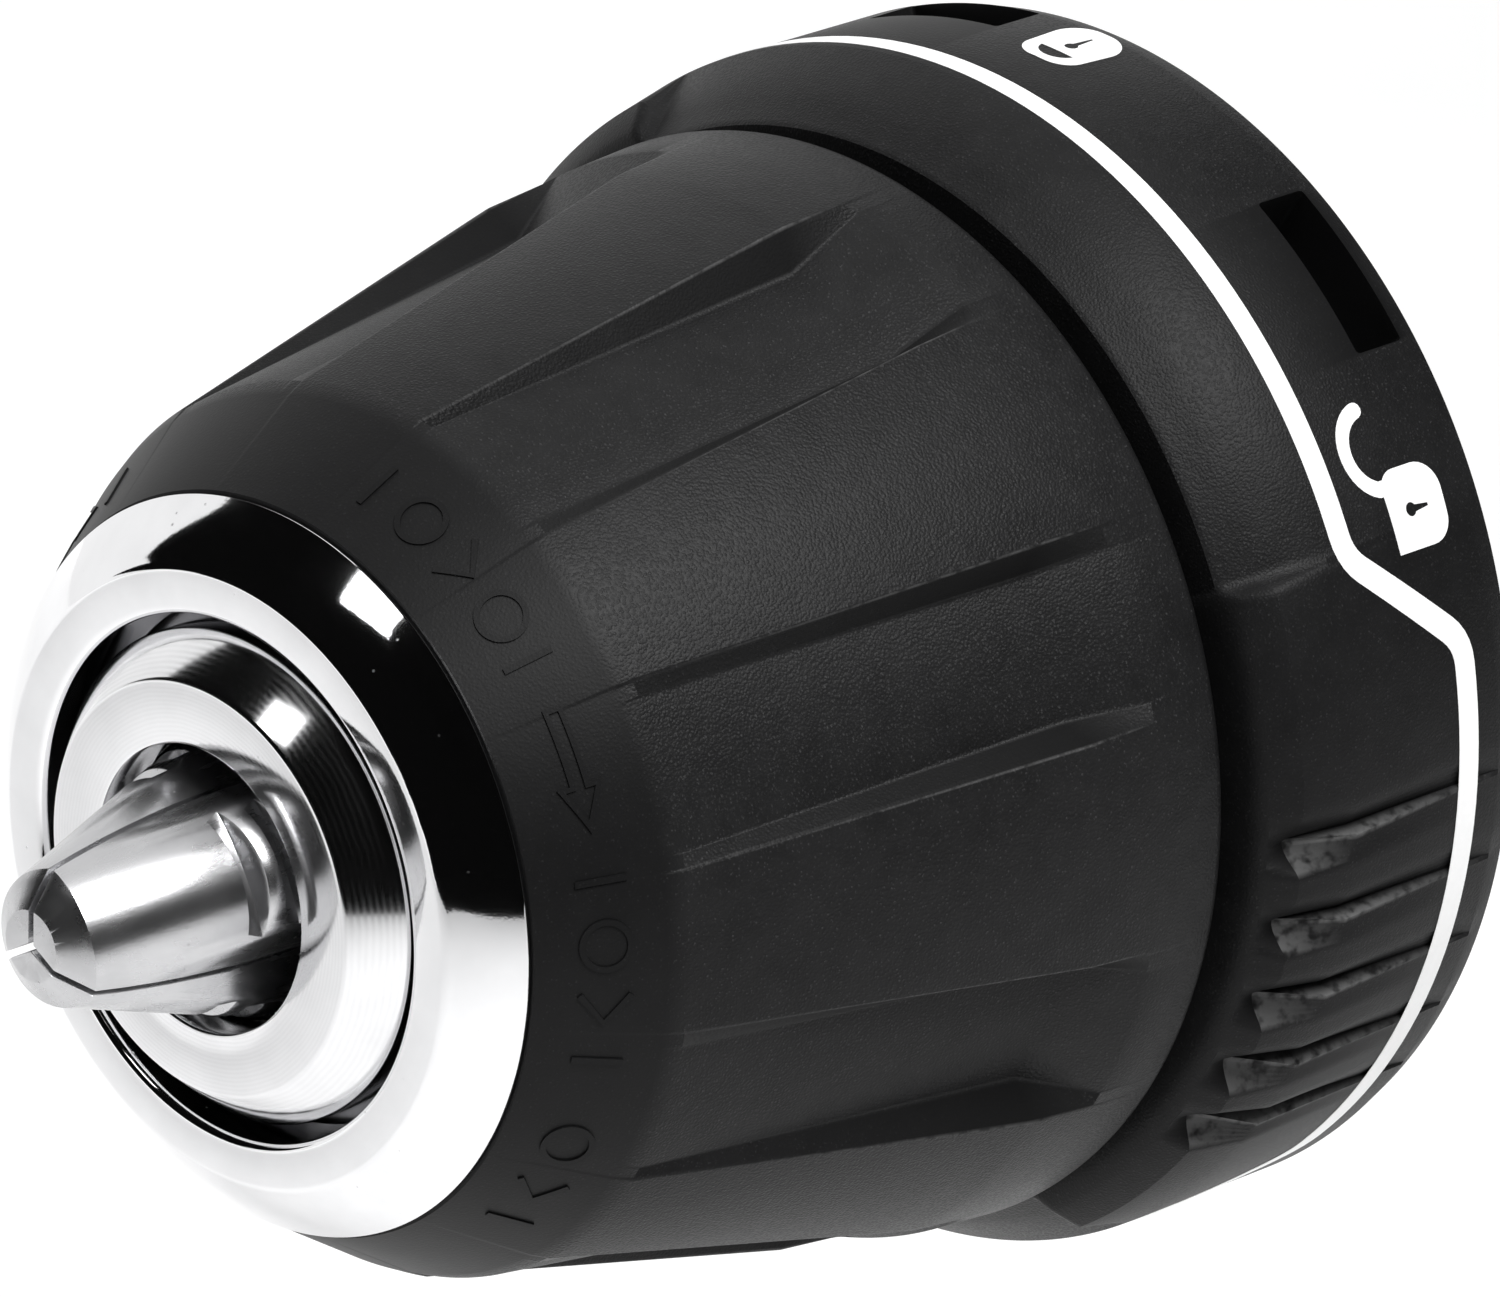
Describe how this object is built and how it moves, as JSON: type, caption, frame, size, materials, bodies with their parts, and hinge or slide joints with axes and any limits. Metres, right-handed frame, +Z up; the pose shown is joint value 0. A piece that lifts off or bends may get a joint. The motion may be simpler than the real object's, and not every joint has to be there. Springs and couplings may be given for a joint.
{
  "type": "keyless drill chuck",
  "caption": "Quick-change keyless drill chuck: tapered black grip sleeve, chromed nose, steel jaws and a turning lock collar.",
  "frame": {"origin": "centre of the tool socket's mouth, in the rear mounting face, on the chuck axis", "axes": "-Y along the chuck axis towards the jaws, +Y towards the tool, +Z up, +X to the right seen from the nose"},
  "size_m": [0.0468, 0.0532, 0.0468],
  "materials": {
    "sleeve_plastic": "spark-textured black nylon",
    "collar_plastic": "satin black nylon with printed marks",
    "housing_plastic": "moulded glass-filled nylon",
    "chrome": "bright chrome plate",
    "body_steel": "turned steel, plated",
    "jaw_steel": "ground satin",
    "bright_steel": "ground and polished",
    "zinc_steel": "zinc plated",
    "spring_steel": "blued spring steel",
    "black_steel": "black oxide",
    "brass_cage": "pressed brass"
  },
  "bodies": {
    "base": {"base_housing": "housing_plastic", "rear_plate": "zinc_steel", "base_screws": "zinc_steel", "housing_clip": "spring_steel", "detent_ball": "bright_steel", "detent_spring": "spring_steel", "bearing_outer_ring": "bright_steel"},
    "bearing_balls": {"bearing_balls": "bright_steel", "bearing_cage": "brass_cage"},
    "lock_collar": {"collar_shell": "collar_plastic", "lock_plate": "zinc_steel", "collar_clip": "spring_steel"},
    "chuck": {"chuck_body": "body_steel", "drive_shaft": "body_steel", "body_spacer": "zinc_steel", "retaining_screw": "black_steel", "bearing_inner_ring": "bright_steel", "rear_thrust_race": "bright_steel", "dust_cover": "housing_plastic", "nose_snap_ring": "spring_steel"},
    "nut": {"nut_half_a": "black_steel", "nut_half_b": "black_steel", "nut_band": "zinc_steel", "front_thrust_race": "bright_steel", "pawl_spring": "spring_steel"},
    "thrust_balls": {"thrust_cage": "brass_cage", "thrust_balls": "bright_steel"},
    "sleeve": {"grip_sleeve": "sleeve_plastic", "nose_ring": "chrome"},
    "jaw_1": {"jaw_1": "jaw_steel"},
    "jaw_2": {"jaw_2": "jaw_steel"},
    "jaw_3": {"jaw_3": "jaw_steel"}
  },
  "joints": [
    {"name": "chuck_spin", "type": "hinge", "parent": "base", "child": "chuck", "pos_m": [0, -0.01, 0], "axis": [0, -1, 0], "continuous": true},
    {"name": "bearing_cage_spin", "type": "hinge", "parent": "base", "child": "bearing_balls", "pos_m": [0, -0.0088, 0], "axis": [0, -1, 0], "continuous": true},
    {"name": "collar_turn", "type": "hinge", "parent": "base", "child": "lock_collar", "pos_m": [0, -0.006, 0], "axis": [0, -1, 0], "range_deg": [0, 56]},
    {"name": "nut_turn", "type": "hinge", "parent": "chuck", "child": "nut", "pos_m": [0, -0.0275, 0], "axis": [0, -1, 0], "range_deg": [0, 3912]},
    {"name": "thrust_cage_turn", "type": "hinge", "parent": "chuck", "child": "thrust_balls", "pos_m": [0, -0.0233, 0], "axis": [0, -1, 0], "range_deg": [0, 1956]},
    {"name": "sleeve_lock", "type": "hinge", "parent": "nut", "child": "sleeve", "pos_m": [0, -0.0275, 0], "axis": [0, -1, 0], "range_deg": [-27, 0]},
    {"name": "jaw_1_slide", "type": "slide", "parent": "chuck", "child": "jaw_1", "axis": [0.2728, 0.9511, 0.1451], "range_m": [0, 0.0162]},
    {"name": "jaw_2_slide", "type": "slide", "parent": "chuck", "child": "jaw_2", "axis": [-0.2621, 0.9511, 0.1638], "range_m": [0, 0.0163]},
    {"name": "jaw_3_slide", "type": "slide", "parent": "chuck", "child": "jaw_3", "axis": [-0.0108, 0.9511, -0.3088], "range_m": [0, 0.0163]}
  ],
  "couplings": [
    {"joint": "jaw_2_slide", "follows": "jaw_1_slide", "ratio": 1},
    {"joint": "jaw_3_slide", "follows": "jaw_1_slide", "ratio": 1},
    {"joint": "nut_turn", "follows": "jaw_1_slide", "rad_per_m": 4188.8},
    {"joint": "thrust_cage_turn", "follows": "jaw_1_slide", "rad_per_m": 2094.4},
    {"joint": "bearing_cage_spin", "follows": "chuck_spin", "ratio": 0.448}
  ]
}
